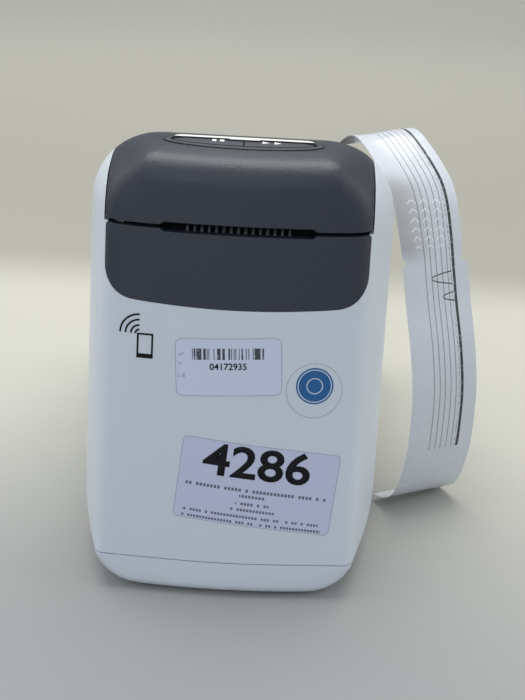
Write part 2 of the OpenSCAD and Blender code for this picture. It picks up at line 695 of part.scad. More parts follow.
// ---- Cartridge ----
roll_y = 12;
roll_z = 88;
cart_half = 36;
hub_r = 10;

// Side view of the cartridge: a drum drawn out to a nose, shrunk by g
module drop(g) {
    hull() {
        translate([roll_y, roll_z]) circle(cart_r - g, $fn = 96);
        translate([-64, 138]) circle(6 - g, $fn = 32);
    }
}

module cartridge_half(side) {
    mirror([side < 0 ? 1 : 0, 0, 0]) difference() {
        union() {
            difference() {
                rotate([90, 0, 90]) linear_extrude(cart_half) drop(0);
                rotate([90, 0, 90]) translate([0, 0, -1]) linear_extrude(cart_half - 1) drop(2);
            }
            // hub that the roll's core turns on
            rod_x(hub_r, 20, cart_half - 1, roll_y, roll_z);
            // half of the carrying tab
            slab([0, roll_y - 3, roll_z + cart_r - 1], [14, roll_y + 3, roll_z + cart_r + 9]);
            // stiffening ring on the side wall
            difference() {
                rod_x(30, cart_half - 0.1, cart_half + 1.2, roll_y, roll_z, 96);
                rod_x(27, cart_half - 1, cart_half + 2, roll_y, roll_z, 96);
            }
        }
        rod_x(7, 18, 50, roll_y, roll_z);
        // exit for the band at the nose
        slab([-1, -75, 138.6], [band_w / 2 + 1.5, -63, 140.6]);
        // finger hole in the tab
        rod_x(2.4, -1, 8, roll_y, roll_z + cart_r + 5);
    }
}

module cartridge_left() color([0.82, 0.84, 0.86]) cartridge_half(-1);
module cartridge_right() color([0.82, 0.84, 0.86]) cartridge_half(1);

// Two saddles on the floor that the cartridge drops into
module cartridge_cradle() color(dark) {
    foot = z0 + 2.5;
    difference() {
        for (side = [-1, 1]) mirror([side < 0 ? 1 : 0, 0, 0])
            side_prism([[-30, foot], [-30, 62], [-26, 66], [50, 66], [52, 62], [52, foot]], 26, 29);
        rotate([90, 0, 90]) translate([0, 0, -60]) linear_extrude(120) drop(-0.05);
        side_prism([[-20, 12], [44, 12], [34, 36], [-12, 36]], -60, 60);
    }
    for (y = [-28, 46]) slab([-29, y, foot], [29, y + 3, 30]);
}

module media_core() color([0.75, 0.66, 0.52]) difference() {
    rod_x(12.5, -26, 26, roll_y, roll_z);
    rod_x(hub_r + 0.05, -30, 30, roll_y, roll_z);
}

module media_roll() color([0.96, 0.96, 0.95]) difference() {
    rod_x(roll_r, -band_w / 2, band_w / 2, roll_y, roll_z, 96);
    rod_x(12.5, -40, 40, roll_y, roll_z);
}

// ---- A printed wristband that has come out of the slot and lies over the hood ----
band_turn = 32.6;
band_tilt = 3.64;
band_at = 35.6;
band_t = 0.25;
strip_w = 35.4;
joint_z = 114.3;            // height of the notches between the first band and the next
band_knots = [[-1, 151.3], [-4.5, 153.3], [-8.5, 156.8], [-13.5, 158.9], [-19, 158.1], [-25, 155.2], [-31, 152.2],
              [-38, 148], [-44.4, 143.4], [-49.8, 136.2], [-54.3, 128.2], [-59.8, 117.4], [-66.9, 98.6], [-74.9, 79.7],
              [-80.5, 61.7], [-82.4, 45.9], [-82.7, 33.3], [-80.2, 18.5], [-76.2, 10], [-68.5, 5.6], [-63, 5.1]];

// Point at u from 0 to 1 on the smooth curve between knots i and i + 1
function knot(i) = band_knots[max(0, min(len(band_knots) - 1, i))];
function band_point(i, u) = 0.5 * (2 * knot(i) + (knot(i + 1) - knot(i - 1)) * u
    + (2 * knot(i - 1) - 5 * knot(i) + 4 * knot(i + 1) - knot(i + 2)) * u * u
    + (3 * knot(i) - knot(i - 1) - 3 * knot(i + 1) + knot(i + 2)) * u * u * u);

// Outline of two lengths of band, seen flat: the upper is narrower, a neck joins them
module band_outline() {
    offset(r = -1.5, $fn = 24) offset(r = 1.5) {
        offset(r = 3, $fn = 32) translate([3, -10]) square([strip_w - 6, joint_z + 6.4]);
        offset(r = 3, $fn = 32) translate([3, joint_z + 3.6]) square([strip_w - 8.6, 60]);
        translate([3.2, joint_z - 4]) square([strip_w - 7, 8]);
    }
}

module wristband() color([0.93, 0.93, 0.95]) {
    path = [for (i = [0:len(band_knots) - 2], u = [0:0.25:0.9]) band_point(i, u)];
    far = [for (k = [0:len(path) - 1]) let (d = path[min(k + 1, len(path) - 1)] - path[max(k - 1, 0)])
        path[k] + band_t * [-d[1], d[0]] / norm(d)];
    rotate([0, 0, band_turn]) rotate([0, band_tilt, 0]) translate([band_at, 0, 0]) intersection() {
        rotate([90, 0, 90]) linear_extrude(strip_w) polygon(concat(path, [for (k = [len(far) - 1:-1:0]) far[k]]));
        rotate([90, 0, 0]) translate([0, 0, -20]) linear_extrude(140) band_outline();
    }
}

main_housing();
base_tray();
rubber_feet();
front_bib();
rear_panel();
hinge_pins();
hood();
hood_liner();
panel_bezel();
panel_ring();
status_light();
pause_button();
feed_button();
button_board();
head_bracket();
head_pin();
print_head();
head_heat_sink();
head_spring();
chassis();
media_guide();
platen_roller();
platen_shaft();
platen_gear();
platen_bushes();
idler_gear();
idler_stud();
stepper_motor();
motor_shaft();
motor_pinion();
cartridge_cradle();
cartridge_left();
cartridge_right();
media_core();
media_roll();
main_board();
dc_inlet();
usb_port();
network_port();
switch_frame();
power_rocker();
case_screws();
board_screws();
wristband();
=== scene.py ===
import json
import math

import bmesh
import bpy
from mathutils import Matrix, Vector
from mathutils.bvhtree import BVHTree


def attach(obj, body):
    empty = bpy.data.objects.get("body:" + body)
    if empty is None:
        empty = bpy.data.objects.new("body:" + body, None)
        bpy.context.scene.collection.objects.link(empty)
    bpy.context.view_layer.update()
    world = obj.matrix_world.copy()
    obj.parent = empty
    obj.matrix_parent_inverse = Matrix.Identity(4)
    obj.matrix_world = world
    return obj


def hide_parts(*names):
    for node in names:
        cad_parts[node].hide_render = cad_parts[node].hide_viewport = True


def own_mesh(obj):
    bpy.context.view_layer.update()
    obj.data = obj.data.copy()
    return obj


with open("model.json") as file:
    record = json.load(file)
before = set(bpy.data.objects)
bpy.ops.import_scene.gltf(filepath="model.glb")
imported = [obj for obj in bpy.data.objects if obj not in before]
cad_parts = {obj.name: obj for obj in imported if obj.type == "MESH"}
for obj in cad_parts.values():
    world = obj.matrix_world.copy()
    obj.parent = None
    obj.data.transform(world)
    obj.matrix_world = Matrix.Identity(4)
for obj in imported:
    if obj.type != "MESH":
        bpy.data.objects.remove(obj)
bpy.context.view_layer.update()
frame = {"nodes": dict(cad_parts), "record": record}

# ---- Camera ----
CAMERA_PLACE = (0.01454, -0.6169, 0.3180)
CAMERA_YAW, CAMERA_PITCH, CAMERA_ROLL = (math.radians(degrees) for degrees in (-0.356, 23.004, 2.982))
CAMERA_LENS, CAMERA_SENSOR = 74.79, 36      # both in millimetres


def make_camera():
    """A portrait camera a little above the hood, tipped down and very slightly rolled."""
    data = bpy.data.cameras.new("camera")
    data.sensor_width = CAMERA_SENSOR
    data.lens = CAMERA_LENS
    data.clip_start = 0.01
    camera = bpy.data.objects.new("camera", data)
    turn = Matrix.Rotation(-CAMERA_YAW, 3, "Z") @ Matrix.Rotation(math.pi / 2 - CAMERA_PITCH, 3, "X")
    turn = turn @ Matrix.Rotation(CAMERA_ROLL, 3, "Z")
    camera.matrix_world = Matrix.Translation(CAMERA_PLACE) @ turn.to_4x4()
    bpy.context.scene.collection.objects.link(camera)
    bpy.context.scene.camera = camera


make_camera()
bpy.context.scene.view_settings.view_transform = "Standard"

# ---- Shader maths ----
UV_OUTPUT, OBJECT_OUTPUT = 2, 3     # of a Texture Coordinate node


class Value:
    """A socket of a material, with arithmetic that adds Math nodes."""

    def __init__(self, finish, socket):
        self.finish = finish
        self.socket = socket

    def math(self, operation, other=None):
        return self.finish.node("ShaderNodeMath", self, other, operation=operation)

    def __add__(self, other):
        return self.math("ADD", other)

    def __sub__(self, other):
        return self.math("SUBTRACT", other)

    def __rsub__(self, other):
        return self.finish.node("ShaderNodeMath", other, self, operation="SUBTRACT")

    def __mul__(self, other):
        return self.math("MULTIPLY", other)

    def __truediv__(self, other):
        return self.math("DIVIDE", other)

    def __lt__(self, other):
        return self.math("LESS_THAN", other)

    def __gt__(self, other):
        return self.math("GREATER_THAN", other)

    def __abs__(self):
        return self.math("ABSOLUTE")

    def whole(self):
        """The whole number at or below it."""
        return self.math("FLOOR")

    def fraction(self):
        """What is left of it above the whole number."""
        return self.math("FRACT")

    def capped(self):
        """Itself, or 1 where it is more."""
        return self.math("MINIMUM", 1)

    __radd__ = __add__
    __rmul__ = __mul__


class Finish:
    """One material: a Principled shader, and a method that adds any other node to it."""

    def __init__(self, name, **constants):
        self.material = bpy.data.materials.new(name)
        self.material.use_nodes = True
        self.tree = self.material.node_tree
        self.shader = self.tree.nodes["Principled BSDF"]
        for socket, value in constants.items():
            self.shader.inputs[socket.replace("_", " ")].default_value = value
        self.place = self.node("ShaderNodeTexCoord", out=OBJECT_OUTPUT)

    def node(self, kind, *inputs, out=0, **settings):
        """Adds a node; an input that is None keeps its own value."""
        made = self.tree.nodes.new(kind)
        for name, value in settings.items():
            setattr(made, name, value)
        for socket, value in zip(made.inputs, inputs):
            self.join(value, socket)
        return Value(self, made.outputs[out])

    def join(self, value, socket):
        if isinstance(value, Value):
            self.tree.links.new(value.socket, socket)
        elif value is not None:
            socket.default_value = value

    def set(self, name, value):
        self.join(value, self.shader.inputs[name])

    def parts(self, place):
        """The X, Y and Z of a place."""
        split = self.node("ShaderNodeSeparateXYZ", place)
        return [Value(self, socket) for socket in split.socket.node.outputs]

    def axes(self):
        """X, Y and Z on the whole machine."""
        return self.parts(self.place)

    def across(self):
        """The piece's own UV map, as its two numbers."""
        return self.parts(self.node("ShaderNodeTexCoord", out=UV_OUTPUT))[:2]

    def noise(self, scale, detail=2.0, place=None):
        """Noise with features about 1 / scale metres across."""
        return self.node("ShaderNodeTexNoise", place or self.place, None, scale, detail)

    def chance(self, cell):
        """A number from 0 to 1, the same all over one cell."""
        return self.node("ShaderNodeTexWhiteNoise", None, cell, noise_dimensions="1D")

    def fade(self, value, start, end, most=1.0):
        """Runs softly from 0 where the value is start to most where it is end."""
        return self.node("ShaderNodeMapRange", value, start, end, 0.0, most, interpolation_type="SMOOTHSTEP")

    def mix(self, factor, first, second):
        """One colour over another."""
        made = self.tree.nodes.new("ShaderNodeMix")
        made.data_type = "RGBA"
        for socket, value in zip((made.inputs[0], made.inputs[6], made.inputs[7]), (factor, first, second)):
            self.join(value, socket)
        return Value(self, made.outputs[2])

    def drift(self, scale, detail, first, second):
        """Two colours that run into each other in slow patches."""
        return self.mix(self.noise(scale, detail), first + (1,), second + (1,))

    def roughen(self, noise, low, high):
        """Roughness that goes with the noise from low to high."""
        self.set("Roughness", noise * (high - low) + low)

    def bump(self, height, depth):
        """Raises the surface by depth metres where height is 1."""
        self.set("Normal", self.node("ShaderNodeBump", 1.0, depth, None, height))


def times(colour, factor):
    """A colour made darker or paler."""
    return tuple(part * factor for part in colour)


# ---- Finishes ----
def moulded(name, colour, rough, grain, depth, drift=0.06, **constants):
    """Moulded plastic: a fine spark-eroded grain, with slow drift in colour and gloss.

    rough is its mean roughness, grain the specks per metre, depth their depth in metres, and
    drift the part by which the colour wanders to each side."""
    f = Finish(name, **constants)
    slow = f.noise(14, 3)
    fine = f.noise(grain, 3)
    fine_swing, slow_swing = 0.12, 0.06
    f.set("Base Color", f.mix(slow, times(colour, 1 - drift) + (1,), times(colour, 1 + drift) + (1,)))
    f.set("Roughness", fine * fine_swing + slow * slow_swing + (rough - (fine_swing + slow_swing) / 2))
    f.bump(fine, depth)
    return f.material


def metal(name, colour, rough):
    """Metal with fine lines along X, from rolling or turning."""
    f = Finish(name, Metallic=1.0)
    lines_per_metre = (40, 2200, 2200)
    stretched = f.node("ShaderNodeMapping", f.place, (0, 0, 0), (0, 0, 0), lines_per_metre)
    lines = f.noise(1.0, 2, stretched)
    f.set("Base Color", f.drift(60, 2, times(colour, 0.86), colour))
    f.roughen(lines, rough - 0.1, rough + 0.1)
    f.bump(lines, 0.00001)
    return f.material


def board_finish():
    """Green solder mask with copper tracks showing through it, and dark parts above the board."""
    f = Finish("solder_mask", Roughness=0.35, Coat_Weight=0.3)
    x, _, z = f.axes()
    tracks_per_metre, board_top = 420, 0.0223
    wandering = x * tracks_per_metre + f.noise(90, 0) * 3
    tracks = abs(wandering.fraction() - 0.5) < 0.14
    mask = f.mix(tracks * 0.6, (0.012, 0.10, 0.045, 1), (0.03, 0.20, 0.09, 1))
    f.set("Base Color", f.mix(z > board_top, mask, (0.02, 0.02, 0.022, 1)))
    f.bump(tracks, 0.00003)
    return f.material


def film_finish():
    """Coated film: glossy white, with a faint cockle."""
    f = Finish("band_film", Coat_Weight=0.25, Coat_Roughness=0.2)
    cockle = f.noise(45, 2)
    f.set("Base Color", f.mix(cockle, (0.80, 0.80, 0.83, 1), (0.88, 0.88, 0.90, 1)))
    f.roughen(f.noise(700, 2), 0.28, 0.38)
    f.bump(cockle, 0.0002)
    return f.material


def diffuser_finish():
    """Milky light guide: its crest glows a little, wider at its middle, and the rest is dark."""
    f = Finish("diffuser", Roughness=0.3, Emission_Strength=0.12)
    crest, front, front_at_middle = 0.1733, -0.0711, -0.0722
    middle, half_middle = 0.0002, 0.0058
    x, y, z = f.axes()
    widened = (y > front) + (abs(x - middle) < half_middle)
    lit = (widened * (y > front_at_middle) * (z > crest)).capped()
    pale = f.drift(160, 2, (0.78, 0.79, 0.76), (0.86, 0.87, 0.84))
    f.set("Base Color", f.mix(lit, (0.045, 0.050, 0.060, 1), pale))
    f.set("Emission Color", f.mix(lit, (0, 0, 0, 1), (0.95, 0.95, 0.92, 1)))
    f.bump(f.noise(1200, 2), 0.00001)
    return f.material


def guide_finish():
    """Black guide, fairly glossy, whose ribs are painted grey in patches: a painted highlight of the light
    that catches them.
    """
    f = Finish("guide_plastic")
    ribs_back, ribs_bottom = -0.0945, 0.1424
    _, y, z = f.axes()
    grain = f.noise(1800, 3)
    # the ribs' patchy grey is a painted highlight
    painted_glint = (y < ribs_back) * (z > ribs_bottom) * (f.noise(700, 2) * 0.6 + 0.4)
    f.set("Base Color", f.mix(painted_glint, (0.010, 0.010, 0.012, 1), (0.24, 0.26, 0.30, 1)))
    f.roughen(grain, 0.26, 0.38)
    f.bump(grain, 0.00002)
    return f.material


CASE = moulded("case_white", (0.70, 0.76, 0.835), 0.42, 2600, 0.000012, 0.03,
               Coat_Weight=0.12, Coat_Roughness=0.3)
CHARCOAL = moulded("charcoal", (0.014, 0.021, 0.040), 0.48, 1500, 0.00013, 0.12, Specular_IOR_Level=0.72)
PANEL = moulded("panel_grey", (0.060, 0.066, 0.078), 0.45, 2200, 0.00003, 0.06)
BLACK = moulded("black_plastic", (0.012, 0.012, 0.014), 0.5, 1800, 0.00003, 0.2)
RUBBER = moulded("rubber_black", (0.016, 0.016, 0.017), 0.8, 1200, 0.00005, 0.2)
PLATEN = moulded("platen_rubber", (0.022, 0.022, 0.025), 0.6, 3000, 0.00002, 0.15)
ACETAL = moulded("gear_plastic", (0.80, 0.79, 0.72), 0.38, 2600, 0.00001, 0.04)
CARTRIDGE = moulded("cartridge_white", (0.64, 0.67, 0.70), 0.45, 1400, 0.00003, 0.04)
CARD = moulded("card", (0.38, 0.27, 0.16), 0.85, 900, 0.00005, 0.15)
CERAMIC = moulded("ceramic", (0.74, 0.71, 0.60), 0.25, 2600, 0.00001, 0.05, Coat_Weight=0.5)
STEEL = metal("steel", (0.62, 0.63, 0.65), 0.38)
ALUMINIUM = metal("aluminium", (0.72, 0.73, 0.75), 0.35)
MOTOR = metal("motor_steel", (0.34, 0.35, 0.37), 0.45)
BRASS = metal("brass", (0.72, 0.52, 0.22), 0.34)
BOARD = board_finish()
FILM = film_finish()
DIFFUSER = diffuser_finish()
GUIDE = guide_finish()

BLACK_INK = moulded("black_ink", (0.005, 0.005, 0.007), 0.6, 2500, 0.000005, 0.1, Specular_IOR_Level=0.25)
WHITE_INK = moulded("white_ink", (0.85, 0.86, 0.88), 0.45, 2500, 0.000005, 0.03)
BLUE_INK = moulded("blue_ink", (0.012, 0.12, 0.34), 0.35, 1800, 0.00001, 0.08)
PALE_INK = moulded("pale_ink", (0.60, 0.68, 0.78), 0.4, 1800, 0.00001, 0.05)
# grey for the painted shadow round the edges of the labels and the sticker film
LABEL_SHADOW = moulded("label_shadow", (0.40, 0.45, 0.54), 0.5, 1800, 0.00001, 0.05)
STICKER_FILM = moulded("sticker_film", (0.69, 0.75, 0.83), 0.25, 1500, 0.00001, 0.03)
# near-black and dull, for the painted shade along the front edge of each button
CAP_SHADE = moulded("cap_shade", (0.006, 0.006, 0.008), 0.7, 2200, 0.00001, 0.1, Specular_IOR_Level=0.1)

# Pieces whose solid already has the right form keep their mesh and get a finish.
CARRIED = {
    "rubber_feet": RUBBER, "rear_panel": CHARCOAL, "hinge_pins": STEEL, "hood_liner": BLACK,
    "panel_bezel": PANEL, "panel_ring": BLACK, "status_light": DIFFUSER, "button_board": BOARD,
    "head_bracket": STEEL, "head_pin": STEEL, "print_head": CERAMIC, "head_heat_sink": ALUMINIUM,
    "chassis": STEEL, "media_guide": GUIDE, "platen_roller": PLATEN,
    "platen_shaft": STEEL, "platen_gear": ACETAL, "platen_bushes": ACETAL, "idler_gear": ACETAL,
    "idler_stud": STEEL, "stepper_motor": MOTOR, "motor_shaft": STEEL, "motor_pinion": BRASS,
    "cartridge_cradle": BLACK, "cartridge_left": CARTRIDGE, "cartridge_right": CARTRIDGE,
    "media_core": CARD, "media_roll": FILM, "main_board": BOARD, "dc_inlet": BLACK,
    "usb_port": STEEL, "network_port": STEEL, "switch_frame": BLACK, "power_rocker": BLACK,
    "case_screws": STEEL, "board_screws": STEEL, "pause_button": PANEL, "feed_button": PANEL,
}
for carried_node, carried_finish in CARRIED.items():
    carried_materials = frame["nodes"][carried_node].data.materials
    carried_materials.clear()
    carried_materials.append(carried_finish)

# ---- Work on meshes ----
WELD = 2e-6             # corners of a solid's loose triangles closer than this are one
WELD_DRAWN = 1e-6       # the same for flat drawn pieces


def solid_mesh(node):
    """A copy of a solid's mesh, its loose triangles joined."""
    bm = bmesh.new()
    bm.from_mesh(frame["nodes"][node].data)
    bmesh.ops.remove_doubles(bm, verts=bm.verts, dist=WELD)
    return bm


def everything(bm):
    return bm.verts[:] + bm.edges[:] + bm.faces[:]


def lattice(bm, steps):
    """Cuts a mesh by planes across X, Y and Z, so far apart; 0 leaves that direction alone."""
    for axis, step in enumerate(steps):
        if not step:
            continue
        normal = Vector(float(axis == i) for i in range(3))
        low = min(v.co[axis] for v in bm.verts)
        high = max(v.co[axis] for v in bm.verts)
        for k in range(1, math.ceil((high - low) / step)):
            bmesh.ops.bisect_plane(bm, geom=everything(bm), dist=WELD,
                                   plane_co=normal * (low + k * step), plane_no=normal)


def eased_skin(bm, verts, times_over):
    """Draws vertices towards their neighbours, a few times over."""
    for _ in range(times_over):
        bmesh.ops.smooth_vert(bm, verts=verts, factor=0.5, use_axis_x=True, use_axis_y=True, use_axis_z=True)


def smooth_shaded(bm, sharp):
    """Smooth shading everywhere but over edges sharper than sharp degrees."""
    for face in bm.faces:
        face.smooth = True
    for edge in bm.edges:
        edge.smooth = edge.calc_face_angle(0) < math.radians(sharp)


def thickened(bm, thick, outward):
    """Gives a laid sheet its thickness, below an outer side that looks outward."""
    bm.normal_update()
    if sum(face.normal.dot(outward) for face in bm.faces) < 0:
        bmesh.ops.reverse_faces(bm, faces=bm.faces[:])
    bmesh.ops.solidify(bm, geom=bm.faces[:], thickness=thick)
    bmesh.ops.recalc_face_normals(bm, faces=bm.faces[:])


def rider(bm, name, finish, body):
    """Makes a finished piece of a bmesh and sets it on its body."""
    mesh = bpy.data.meshes.new(name)
    bm.to_mesh(mesh)
    bm.free()
    mesh.materials.append(finish)
    piece = bpy.data.objects.new(name, mesh)
    bpy.context.scene.collection.objects.link(piece)
    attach(piece, body)
    return piece


# ---- Moulded shells ----
def body_of(node):
    return next(body for body, nodes in frame["record"]["behaviour"]["bodies"].items() if node in nodes)


def shell(node, finish, edge, step=0.004, sharp=40, eases=4):
    """A shell over a solid: edges sharper than sharp degrees broken by edge, its skin cut at every
    step and eased smooth."""
    bm = solid_mesh(node)
    bmesh.ops.dissolve_limit(bm, angle_limit=math.radians(0.3), verts=bm.verts, edges=bm.edges)
    if edge:
        corners = [e for e in bm.edges if e.is_manifold and e.calc_face_angle() > math.radians(sharp)]
        bmesh.ops.bevel(bm, geom=corners, offset=edge, offset_type="OFFSET", segments=3, profile=0.5,
                        affect="EDGES", material=-1, clamp_overlap=True)
    lattice(bm, (step, step, step))
    bm.normal_update()
    nearly_flat = math.radians(9)
    soft = [v for v in bm.verts if all(v.normal.angle(f.normal, 0) < nearly_flat for f in v.link_faces)]
    eased_skin(bm, soft, eases)
    bmesh.ops.triangulate(bm, faces=bm.faces[:])
    smooth_shaded(bm, sharp)
    piece = rider(bm, node + "_skin", finish, body_of(node))
    piece.modifiers.new("normals", "WEIGHTED_NORMAL").keep_sharp = True
    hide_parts(node)
    return piece


shell("main_housing", CASE, 0.0004)
shell("base_tray", CASE, 0.0004)
shell("front_bib", CHARCOAL, 0.0007, 0.003)
shell("hood", CHARCOAL, 0.0007, 0.003)

# The leaf spring over the print head, with a mesh of its own.
head_leaf = shell("head_spring", STEEL, 0, 0.003, eases=0)
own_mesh(head_leaf)


# ---- Flat pieces on the front face ----
def surface(node):
    """The surface of a solid, to drop marks on."""
    bm = bmesh.new()
    bm.from_mesh(frame["nodes"][node].data)
    tree = BVHTree.FromBMesh(bm)
    bm.free()
    return tree


HOUSING = surface("main_housing")
FORWARD, BACKWARD = Vector((0, -1, 0)), Vector((0, 1, 0))
UPWARD, DOWNWARD = Vector((0, 0, 1)), Vector((0, 0, -1))
ORIGIN = (0, 0, 0)
STAND_UP = Matrix.Rotation(math.pi / 2, 3, "X")     # turns a flat drawing from XY to face -Y
FACE_STEP = 0.004       # flat pieces are cut this fine, so that they follow the bulging face
WELL_IN_FRONT, WELL_ABOVE = -0.2, 0.2       # where a ray starts on its way to the machine, in Y and in Z


def flat_plate(width, height, radius):
    """A flat rounded rectangle round the origin, in the XZ plane, facing -Y."""
    bm = bmesh.new()
    bmesh.ops.create_grid(bm, x_segments=1, y_segments=1, size=0.5)
    bmesh.ops.scale(bm, vec=(width, height, 1), verts=bm.verts)
    bmesh.ops.bevel(bm, geom=bm.verts[:], offset=radius, offset_type="OFFSET", segments=6,
                    profile=0.5, affect="VERTICES", material=-1)
    bmesh.ops.rotate(bm, cent=ORIGIN, matrix=STAND_UP, verts=bm.verts)
    return bm


def ring(x, z, inner, outer, start=0, end=360):
    """A flat ring round x, z, or its part from start to end degrees, from +X towards +Z."""
    bm = bmesh.new()
    along = Vector((math.cos(math.radians(start)), 0, math.sin(math.radians(start))))
    ends = [bm.verts.new(along * radius) for radius in (inner, outer)]
    edge = bm.edges.new(ends)
    degrees = end - start
    bmesh.ops.spin(bm, geom=[edge] + ends, cent=ORIGIN, axis=FORWARD, angle=math.radians(degrees),
                   steps=max(12, round(degrees / 5)), use_merge=degrees == 360, use_duplicate=False,
                   dvec=(0, 0, 0))
    if degrees == 360:
        bmesh.ops.remove_doubles(bm, verts=bm.verts, dist=WELD_DRAWN)
    bmesh.ops.translate(bm, vec=(x, 0, z), verts=bm.verts)
    return bm


def put(bm, x, z, degrees=0):
    """Turns a flat piece clockwise in the XZ plane and moves it to its place on the face."""
    turn = Matrix.Rotation(math.radians(degrees), 3, "Y")
    bmesh.ops.rotate(bm, cent=ORIGIN, matrix=turn, verts=bm.verts)
    bmesh.ops.translate(bm, vec=(x, 0, z), verts=bm.verts)


def on_face(bm, name, finish, lift, thick):
    """Drops a flat piece on the front face, so that its outer side is lift above it."""
    lattice(bm, (FACE_STEP, 0, FACE_STEP))
    bmesh.ops.triangulate(bm, faces=bm.faces[:])
    for v in bm.verts:
        point, normal, _, _ = HOUSING.ray_cast(Vector((v.co.x, WELL_IN_FRONT, v.co.z)), BACKWARD)
        v.co = point + normal * lift
    thickened(bm, thick, FORWARD)
    rider(bm, name, finish, "case")


def phone_mark():
    """The pictogram beside the label: a plain hand-held device with four waves."""
    x, z, width, height = -0.0336, 0.1004, 0.0063, 0.0097
    waves_x, waves_z = -0.0359, 0.1050
    line, chin, ink = 0.0007, 0.0017, 0.00012
    bars = [(width, line, 0, (height - line) / 2), (width, chin, 0, (chin - height) / 2),
            (line, height, (line - width) / 2, 0), (line, height, (width - line) / 2, 0)]
    for k, (bar_width, bar_height, right, up) in enumerate(bars):
        bm = flat_plate(bar_width, bar_height, line * 0.3)
        put(bm, x + right, z + up)
        on_face(bm, "device_mark_%d" % k, BLACK_INK, ink, ink)
    for k, radius in enumerate((0.0015, 0.0032, 0.0053, 0.0074)):
        wave = ring(waves_x, waves_z, radius - line / 2, radius + line / 2, 90, 180)
        on_face(wave, "wave_mark_%d" % k, BLACK_INK, ink, ink)


phone_mark()


# ---- Labels and stickers ----
def paper_finish(name):
    """Label paper with a fine tooth; its colour is still to be set."""
    f = Finish(name)
    f.roughen(f.noise(900, 2), 0.5, 0.65)
    f.bump(f.noise(1500, 2), 0.00001)
    return f


def bars_finish():
    """White label with a row of bars of uneven width, worn grey at its left end."""
    f = paper_finish("bar_label")
    u, v = f.across()
    bars_left, bars_wide, cells = 0.154, 0.692, 84
    bars_height, half_height, bare = 0.735, 0.1, 0.44
    along = (u - bars_left) / bars_wide
    inked = f.chance((along * cells).whole()) > bare
    bars = inked * (abs(along - 0.5) < 0.5) * (abs(v - bars_height) < half_height)
    patchy = (f.noise(500, 3) > 0.42) * 0.2 + 0.75
    left_end = (abs(u - 0.05) < 0.035) * (abs(v - 0.56) < 0.24)
    scuff = (f.noise(260, 4) > 0.56) * left_end * 0.35
    f.set("Base Color", f.mix(bars * patchy + scuff, (0.68, 0.74, 0.90, 1), (0.03, 0.03, 0.04, 1)))
    return f.material


def dashes_finish():
    """Pale lilac label with rows of plain dashes where small print stands."""
    f = paper_finish("lilac_label")
    u, v = f.across()
    # each row's height on the label, half its own height and half its length
    rows = ((0.437, 0.0192, 0.462), (0.365, 0.0174, 0.09), (0.27, 0.0174, 0.107), (0.192, 0.0161, 0.147),
            (0.105, 0.0161, 0.44), (0.030, 0.0155, 0.46))
    half_dash, bare, middle, strength = 0.36, 0.15, 0.49, 0.78
    dashes = 0
    for k, (height, half_height, half_length) in enumerate(rows):
        # each row has a few more cells than the one above it, and starts at a place of its own
        place = u * (44 + k * 1.5) + k * 7.3
        cell = place.whole()
        dash = (abs(place - cell - 0.5) < half_dash) * (f.chance(cell) > bare)
        dashes = dashes + dash * (abs(v - height) < half_height) * (abs(u - middle) < half_length)
    f.set("Base Color", f.mix(dashes * strength, (0.61, 0.65, 0.84, 1), (0.02, 0.02, 0.035, 1)))
    return f.material


def label(name, finish, width, height, x, z, degrees, radius):
    """A stuck-on label, over a hair of darker grey round it that is a painted shadow of its edge."""
    rim, edge_thick, thick = 0.00028, 0.00010, 0.00018
    bm = flat_plate(width + 2 * rim, height + 2 * rim, radius + rim)
    put(bm, x, z, degrees)
    on_face(bm, name + "_edge", LABEL_SHADOW, edge_thick, edge_thick)
    bm = flat_plate(width, height, radius)
    sheet = bm.loops.layers.uv.new("sheet")
    for face in bm.faces:
        for loop in face.loops:
            loop[sheet].uv = (loop.vert.co.x / width + 0.5, loop.vert.co.z / height + 0.5)
    put(bm, x, z, degrees)
    on_face(bm, name, finish, thick, thick)


def number(name, figures, height, x, z, degrees, bold, wide=1.0):
    """Plain figures on a label, made bolder all round and drawn wide times their usual width."""
    curve = bpy.data.curves.new(name, "FONT")
    curve.body = figures
    curve.size = height
    curve.offset = bold
    curve.align_x = "CENTER"
    curve.align_y = "CENTER"
    curve.resolution_u = 4
    text = bpy.data.objects.new(name + "_text", curve)
    bpy.context.scene.collection.objects.link(text)
    mesh = bpy.data.meshes.new_from_object(text.evaluated_get(bpy.context.evaluated_depsgraph_get()))
    bm = bmesh.new()
    bm.from_mesh(mesh)
    bpy.data.objects.remove(text)
    bpy.data.meshes.remove(mesh)
    bmesh.ops.remove_doubles(bm, verts=bm.verts, dist=WELD_DRAWN)
    bmesh.ops.scale(bm, vec=(wide, 1, 1), verts=bm.verts)
    bmesh.ops.rotate(bm, cent=ORIGIN, matrix=STAND_UP, verts=bm.verts)
    put(bm, x, z, degrees)
    on_face(bm, name, BLACK_INK, 0.00030, 0.00008)


label("stock_label", bars_finish(), 0.0402, 0.0221, -0.0012, 0.0943, -3.3, 0.0023)
number("stock_number", "04172935", 0.0036, -0.0013, 0.0945, -3.3, 0.00004)
label("lot_label", dashes_finish(), 0.0613, 0.0328, 0.0118, 0.0468, 5.7, 0.0016)
number("lot_number", "4286", 0.0178, 0.0118, 0.0553, 5.2, 0.00033, 1.19)


